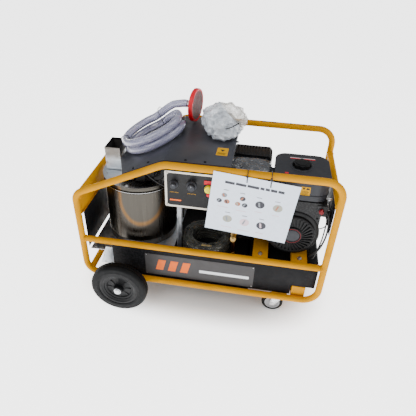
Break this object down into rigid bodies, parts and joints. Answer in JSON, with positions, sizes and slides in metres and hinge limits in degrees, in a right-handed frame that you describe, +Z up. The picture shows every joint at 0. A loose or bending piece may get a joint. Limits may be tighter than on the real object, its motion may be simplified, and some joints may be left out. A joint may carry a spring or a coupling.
{
  "type": "pressure washer",
  "caption": "Hot-water pressure washer: petrol engine, belt-driven pump, upright boiler and burner in a yellow tube frame on wheels, with hoses and a hung card",
  "frame": {"origin": "on the ground, midway between the frame's ends and sides", "axes": "+X to the engine end, -Y to the operator's side with the controls, +Z up"},
  "size_m": [1.267, 0.836, 1.041],
  "materials": {
    "frame_yellow": "gloss powder coat, orange-yellow",
    "black_sheet": "satin black sheet",
    "dark_cover": "satin dark grey sheet",
    "galvanised": "galvanised sheet",
    "stainless": "bright stainless sheet with heat tint",
    "black_plastic": "moulded black plastic",
    "engine_black": "semi-gloss black castings and pressings",
    "panel_metal": "satin bezel with a black face",
    "brass": "cast and machined brass",
    "rubber": "solid black rubber",
    "belt_rubber": "black rubber",
    "zinc": "bright zinc plate",
    "red": "gloss red moulding",
    "signal_yellow": "gloss yellow moulding",
    "clear_hose": "clear braided tube",
    "film": "clear wrapping film",
    "card": "laminated white card"
  },
  "bodies": {
    "chassis": {"frame_loop_front": "frame_yellow", "mid_rail_front": "frame_yellow", "frame_loop_rear": "frame_yellow", "mid_rail_rear": "frame_yellow", "cross_tube_right": "frame_yellow", "cross_tube_bottom": "frame_yellow", "cross_plate_left": "frame_yellow", "engine_channel_left": "frame_yellow", "engine_channel_right": "frame_yellow", "base_channel": "frame_yellow", "caster_channel": "frame_yellow", "axle": "frame_yellow", "base_tray": "black_sheet", "end_panel_left": "black_sheet", "end_panel_right": "black_sheet", "belt_guard": "black_sheet", "top_cover": "dark_cover", "deck": "galvanised", "boiler_lid": "galvanised", "flue_duct": "galvanised", "boiler_shell": "stainless", "heating_coil": "stainless", "burner_fuel_tank": "black_plastic", "burner_housing": "black_plastic", "recoil_cover": "black_plastic", "engine_fuel_tank": "black_plastic", "air_cleaner": "black_plastic", "engine_block": "engine_black", "fan_housing": "engine_black", "muffler_guard": "engine_black", "control_box": "panel_metal", "pump": "brass", "drive_belt": "belt_rubber", "pressure_hose_coil": "belt_rubber", "suction_strainer": "red", "suction_hose_coil": "clear_hose", "suction_hose_lead": "clear_hose", "accessory_bag": "film"},
    "wheel_front": {"wheel_rim_front": "black_plastic", "wheel_tyre_front": "rubber"},
    "wheel_rear": {"wheel_rim_rear": "black_plastic", "wheel_tyre_rear": "rubber"},
    "caster_fork_front": {"caster_fork_front": "zinc"},
    "caster_fork_rear": {"caster_fork_rear": "zinc"},
    "caster_wheel_front": {"caster_wheel_front": "rubber"},
    "caster_wheel_rear": {"caster_wheel_rear": "rubber"},
    "knob_temperature": {"knob_temperature": "black_plastic"},
    "knob_burner": {"knob_burner": "black_plastic"},
    "stop_button": {"stop_button": "signal_yellow"},
    "reset_button": {"reset_button": "red"},
    "burner_fuel_cap": {"burner_fuel_cap": "black_plastic"},
    "engine_fuel_cap": {"engine_fuel_cap": "black_plastic"},
    "recoil_handle": {"recoil_handle": "black_plastic"},
    "engine_switch": {"engine_switch": "red"},
    "throttle_lever": {"throttle_lever": "zinc"},
    "crankshaft": {"crank_pulley": "zinc"},
    "pump_shaft": {"pump_pulley": "zinc"},
    "burner_fan": {"burner_fan": "zinc"},
    "unloader_knob": {"unloader_knob": "black_plastic"},
    "instruction_card": {"instruction_card": "card"}
  },
  "joints": [
    {"name": "wheel_front_spin", "type": "hinge", "parent": "chassis", "child": "wheel_front", "pos_m": [-0.403, -0.37, 0.15], "axis": [0, 1, 0], "continuous": true},
    {"name": "wheel_rear_spin", "type": "hinge", "parent": "chassis", "child": "wheel_rear", "pos_m": [-0.403, 0.37, 0.15], "axis": [0, 1, 0], "continuous": true},
    {"name": "caster_front_swivel", "type": "hinge", "parent": "chassis", "child": "caster_fork_front", "pos_m": [0.429, -0.233, 0.12], "axis": [0, 0, 1], "continuous": true},
    {"name": "caster_rear_swivel", "type": "hinge", "parent": "chassis", "child": "caster_fork_rear", "pos_m": [0.429, 0.233, 0.12], "axis": [0, 0, 1], "continuous": true},
    {"name": "caster_front_roll", "type": "hinge", "parent": "caster_fork_front", "child": "caster_wheel_front", "pos_m": [0.401, -0.233, 0.057], "axis": [0, 1, 0], "continuous": true},
    {"name": "caster_rear_roll", "type": "hinge", "parent": "caster_fork_rear", "child": "caster_wheel_rear", "pos_m": [0.401, 0.233, 0.057], "axis": [0, 1, 0], "continuous": true},
    {"name": "temperature_turn", "type": "hinge", "parent": "chassis", "child": "knob_temperature", "pos_m": [-0.129, -0.2483, 0.743], "axis": [0, 1, 0], "range_deg": [0, 270]},
    {"name": "burner_switch_turn", "type": "hinge", "parent": "chassis", "child": "knob_burner", "pos_m": [-0.046, -0.2483, 0.743], "axis": [0, 1, 0], "range_deg": [0, 90]},
    {"name": "stop_press", "type": "slide", "parent": "chassis", "child": "stop_button", "axis": [0, 1, 0], "range_m": [0, 0.004], "stiffness_N_per_m": 1000, "springref_m": -0.001},
    {"name": "reset_press", "type": "slide", "parent": "chassis", "child": "reset_button", "axis": [0, 1, 0], "range_m": [0, 0.003], "stiffness_N_per_m": 800, "springref_m": -0.001},
    {"name": "burner_cap_turn", "type": "hinge", "parent": "chassis", "child": "burner_fuel_cap", "pos_m": [0.566, 0.14, 0.3723], "axis": [0, 0, 1], "range_deg": [0, 90]},
    {"name": "engine_cap_turn", "type": "hinge", "parent": "chassis", "child": "engine_fuel_cap", "pos_m": [0.446, -0.058, 0.8003], "axis": [0, 0, 1], "range_deg": [0, 90]},
    {"name": "recoil_pull", "type": "slide", "parent": "chassis", "child": "recoil_handle", "axis": [0, -1, 0], "range_m": [0, 0.04], "stiffness_N_per_m": 200, "springref_m": -0.01},
    {"name": "engine_switch_turn", "type": "hinge", "parent": "chassis", "child": "engine_switch", "pos_m": [0.556, -0.1963, 0.648], "axis": [0, 1, 0], "range_deg": [0, 40]},
    {"name": "throttle_tilt", "type": "hinge", "parent": "chassis", "child": "throttle_lever", "pos_m": [0.5823, -0.154, 0.632], "axis": [1, 0, 0], "range_deg": [-25, 25]},
    {"name": "crank_spin", "type": "hinge", "parent": "chassis", "child": "crankshaft", "pos_m": [0.443, 0.07, 0.503], "axis": [0, 1, 0], "continuous": true},
    {"name": "pump_spin", "type": "hinge", "parent": "chassis", "child": "pump_shaft", "pos_m": [0.2, 0.1, 0.455], "axis": [0, 1, 0], "continuous": true},
    {"name": "burner_fan_spin", "type": "hinge", "parent": "chassis", "child": "burner_fan", "pos_m": [-0.262, -0.037, 0.726], "axis": [0, 1, 0], "continuous": true},
    {"name": "unloader_turn", "type": "hinge", "parent": "chassis", "child": "unloader_knob", "pos_m": [0.176, -0.076, 0.5003], "axis": [0, 0, 1], "range_deg": [0, 360]},
    {"name": "card_swing", "type": "hinge", "parent": "chassis", "child": "instruction_card", "pos_m": [0.236, -0.272, 0.851], "axis": [-1, 0, 0], "range_deg": [0, 80]}
  ],
  "couplings": [
    {"joint": "pump_spin", "follows": "crank_spin", "ratio": 0.69231}
  ]
}
